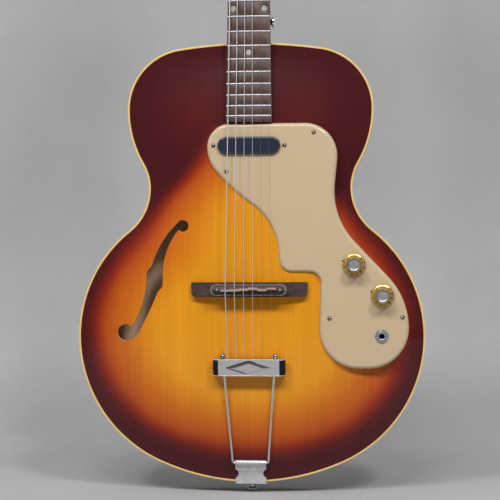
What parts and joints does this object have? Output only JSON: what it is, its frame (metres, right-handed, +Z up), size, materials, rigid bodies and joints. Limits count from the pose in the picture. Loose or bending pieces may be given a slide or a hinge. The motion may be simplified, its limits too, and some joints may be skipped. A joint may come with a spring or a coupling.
{
  "type": "archtop guitar",
  "caption": "Thin archtop electric guitar with an f-shaped sound hole, a moulded guard that holds the pickup, knobs and jack, a floating bridge and a trapeze tailpiece.",
  "frame": {"origin": "on the end button's axis, where it meets the bottom of the rim at half the rim's depth", "axes": "+Z up the body and neck towards the headstock, +X to the treble side, the front faces -Y"},
  "size_m": [0.4064, 0.1151, 1.0429],
  "materials": {
    "sunburst_top": "gloss amber sunburst lacquer over straight-grained softwood",
    "sunburst_back": "gloss dark red-brown lacquer",
    "inner_wood": "bare softwood",
    "binding": "aged cream plastic",
    "neck_wood": "gloss dark red-brown lacquer",
    "rosewood": "oiled dark hardwood",
    "fret_nickel": "polished nickel alloy",
    "pearl": "pearl-look plastic",
    "bone": "polished bone-coloured plastic",
    "rod_steel": "plain steel",
    "black_plastic": "gloss black",
    "nickel": "nickel plate",
    "wound_steel": "wound nickel-steel",
    "plain_steel": "plain drawn steel",
    "brass": "turned brass",
    "guard_plastic": "moulded beige plastic",
    "navy_plastic": "moulded blue-black plastic",
    "coil_wire": "enamelled copper wire",
    "gold_plastic": "clear plastic backed with gold",
    "cap_metal": "spun bright metal",
    "cloth_wire": "insulated wire",
    "capacitor_body": "dipped plastic film"
  },
  "bodies": {
    "guitar": {"top_plate": "sunburst_top", "back_plate": "sunburst_back", "rim": "sunburst_back", "linings": "inner_wood", "neck_block": "inner_wood", "tail_block": "inner_wood", "tone_bars": "inner_wood", "top_binding": "binding", "back_binding": "binding", "neck": "neck_wood", "fingerboard": "rosewood", "frets": "fret_nickel", "position_dots": "pearl", "nut": "bone", "truss_rod": "rod_steel", "truss_rod_cover": "black_plastic", "tuner_plates": "nickel", "tuner_bushings": "nickel", "wound_strings": "wound_steel", "plain_strings": "plain_steel", "bridge_base": "rosewood", "bridge_posts": "brass", "tailpiece_hinge": "nickel", "strap_buttons": "nickel", "wood_screws": "nickel", "small_screws": "nickel", "pickguard": "guard_plastic", "pickup_cover": "navy_plastic", "pickup_coil": "coil_wire", "pickup_base": "rod_steel", "potentiometers": "rod_steel", "knob_pointers": "cap_metal", "output_jack": "nickel", "jack_nut": "nickel", "wiring": "cloth_wire", "tone_capacitor": "capacitor_body"},
    "saddle": {"bridge_saddle": "rosewood"},
    "wheel_bass": {"thumbwheel_bass": "brass"},
    "wheel_treble": {"thumbwheel_treble": "brass"},
    "trapeze": {"trapeze_rods": "nickel", "tailpiece_crossbar": "nickel", "trapeze_nuts": "nickel"},
    "volume": {"volume_knob": "gold_plastic", "volume_cap": "cap_metal", "volume_shaft": "brass"},
    "tone": {"tone_knob": "gold_plastic", "tone_cap": "cap_metal", "tone_shaft": "brass"},
    "key_1": {"tuner_key_1": "nickel"},
    "post_1": {"tuner_post_1": "nickel"},
    "key_2": {"tuner_key_2": "nickel"},
    "post_2": {"tuner_post_2": "nickel"},
    "key_3": {"tuner_key_3": "nickel"},
    "post_3": {"tuner_post_3": "nickel"},
    "key_4": {"tuner_key_4": "nickel"},
    "post_4": {"tuner_post_4": "nickel"},
    "key_5": {"tuner_key_5": "nickel"},
    "post_5": {"tuner_post_5": "nickel"},
    "key_6": {"tuner_key_6": "nickel"},
    "post_6": {"tuner_post_6": "nickel"}
  },
  "joints": [
    {"name": "tuner_key_1", "type": "hinge", "parent": "guitar", "child": "key_1", "pos_m": [-0.023, 0.02401, 0.90547], "axis": [-1, 0, 0], "continuous": true},
    {"name": "tuner_post_1", "type": "hinge", "parent": "guitar", "child": "post_1", "pos_m": [-0.023, 0.00279, 0.90328], "axis": [0, -0.9547, 0.2976], "continuous": true},
    {"name": "tuner_key_2", "type": "hinge", "parent": "guitar", "child": "key_2", "pos_m": [-0.023, 0.03561, 0.9427], "axis": [-1, 0, 0], "continuous": true},
    {"name": "tuner_post_2", "type": "hinge", "parent": "guitar", "child": "post_2", "pos_m": [-0.023, 0.0144, 0.94052], "axis": [0, -0.9547, 0.2976], "continuous": true},
    {"name": "tuner_key_3", "type": "hinge", "parent": "guitar", "child": "key_3", "pos_m": [-0.023, 0.04722, 0.97993], "axis": [-1, 0, 0], "continuous": true},
    {"name": "tuner_post_3", "type": "hinge", "parent": "guitar", "child": "post_3", "pos_m": [-0.023, 0.02601, 0.97775], "axis": [0, -0.9547, 0.2976], "continuous": true},
    {"name": "tuner_key_4", "type": "hinge", "parent": "guitar", "child": "key_4", "pos_m": [0.023, 0.04722, 0.97993], "axis": [1, 0, 0], "continuous": true},
    {"name": "tuner_post_4", "type": "hinge", "parent": "guitar", "child": "post_4", "pos_m": [0.023, 0.02601, 0.97775], "axis": [0, -0.9547, 0.2976], "continuous": true},
    {"name": "tuner_key_5", "type": "hinge", "parent": "guitar", "child": "key_5", "pos_m": [0.023, 0.03561, 0.9427], "axis": [1, 0, 0], "continuous": true},
    {"name": "tuner_post_5", "type": "hinge", "parent": "guitar", "child": "post_5", "pos_m": [0.023, 0.0144, 0.94052], "axis": [0, -0.9547, 0.2976], "continuous": true},
    {"name": "tuner_key_6", "type": "hinge", "parent": "guitar", "child": "key_6", "pos_m": [0.023, 0.02401, 0.90547], "axis": [1, 0, 0], "continuous": true},
    {"name": "tuner_post_6", "type": "hinge", "parent": "guitar", "child": "post_6", "pos_m": [0.023, 0.00279, 0.90328], "axis": [0, -0.9547, 0.2976], "continuous": true},
    {"name": "volume_turn", "type": "hinge", "parent": "guitar", "child": "volume", "pos_m": [0.12131, -0.03945, 0.25369], "axis": [0, -1, 0], "range_deg": [0, 300]},
    {"name": "tone_turn", "type": "hinge", "parent": "guitar", "child": "tone", "pos_m": [0.15382, -0.03945, 0.21812], "axis": [0, -1, 0], "range_deg": [-150, 150]},
    {"name": "saddle_height", "type": "slide", "parent": "guitar", "child": "saddle", "axis": [0, -1, 0], "range_m": [-0.0012, 0.003], "deforming": ["wound_strings", "plain_strings"]},
    {"name": "thumbwheel_bass", "type": "hinge", "parent": "saddle", "child": "wheel_bass", "pos_m": [-0.0365, -0.04705, 0.22554], "axis": [0, -1, 0], "range_deg": [-540, 1350]},
    {"name": "thumbwheel_treble", "type": "hinge", "parent": "saddle", "child": "wheel_treble", "pos_m": [0.0365, -0.04705, 0.22554], "axis": [0, -1, 0], "range_deg": [-540, 1350]},
    {"name": "tailpiece_pivot", "type": "hinge", "parent": "guitar", "child": "trapeze", "pos_m": [0, -0.02905, 0.0236], "axis": [1, 0, 0], "range_deg": [-1, 3], "stiffness_Nm_per_rad": 20, "deforming": ["wound_strings", "plain_strings"]}
  ],
  "couplings": [
    {"joint": "tuner_post_1", "follows": "tuner_key_1", "ratio": 0.071429},
    {"joint": "tuner_post_2", "follows": "tuner_key_2", "ratio": 0.071429},
    {"joint": "tuner_post_3", "follows": "tuner_key_3", "ratio": 0.071429},
    {"joint": "tuner_post_4", "follows": "tuner_key_4", "ratio": 0.071429},
    {"joint": "tuner_post_5", "follows": "tuner_key_5", "ratio": 0.071429},
    {"joint": "tuner_post_6", "follows": "tuner_key_6", "ratio": 0.071429},
    {"joint": "thumbwheel_bass", "follows": "saddle_height", "rad_per_m": 7854},
    {"joint": "thumbwheel_treble", "follows": "saddle_height", "rad_per_m": 7854}
  ]
}
